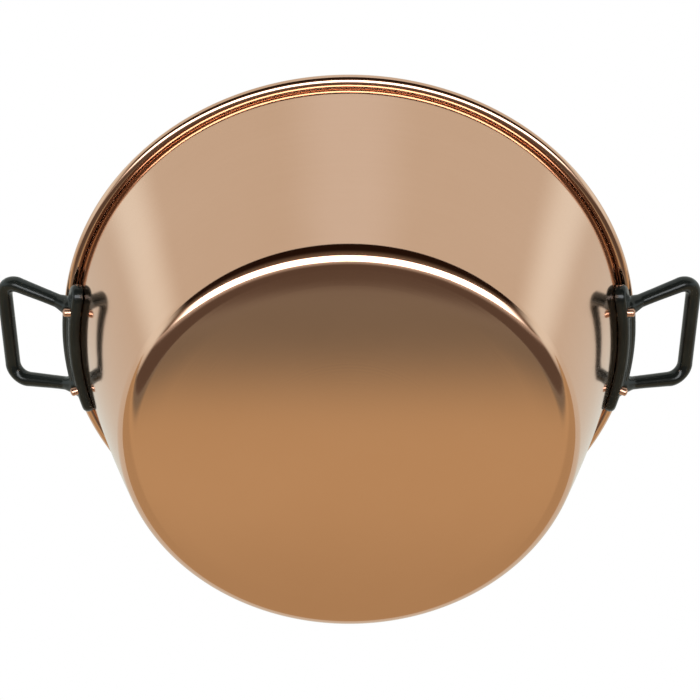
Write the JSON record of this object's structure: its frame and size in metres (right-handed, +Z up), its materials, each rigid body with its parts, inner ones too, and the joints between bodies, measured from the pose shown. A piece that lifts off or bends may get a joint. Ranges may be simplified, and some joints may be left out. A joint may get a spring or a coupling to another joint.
{
  "type": "jam pan",
  "caption": "Wide open copper preserving pan with a rolled rim, sloping wall, flat base and riveted black iron loop handles on either side.",
  "frame": {"origin": "centre of the base, on the surface that the pan stands on", "axes": "+Z up out of the open mouth, +X through the right handle and -X through the left handle, -Y towards the front as pictured"},
  "size_m": [0.469, 0.38, 0.1497],
  "materials": {
    "copper": "polished copper sheet",
    "rivet_copper": "copper, hammered",
    "iron": "black, semi-gloss",
    "wire": "drawn wire"
  },
  "bodies": {
    "root": {"pan_body": "copper", "rim_wire": "wire", "left_handle": "iron", "right_handle": "iron", "left_front_rivet": "rivet_copper", "left_rear_rivet": "rivet_copper", "right_front_rivet": "rivet_copper", "right_rear_rivet": "rivet_copper"}
  },
  "joints": []
}
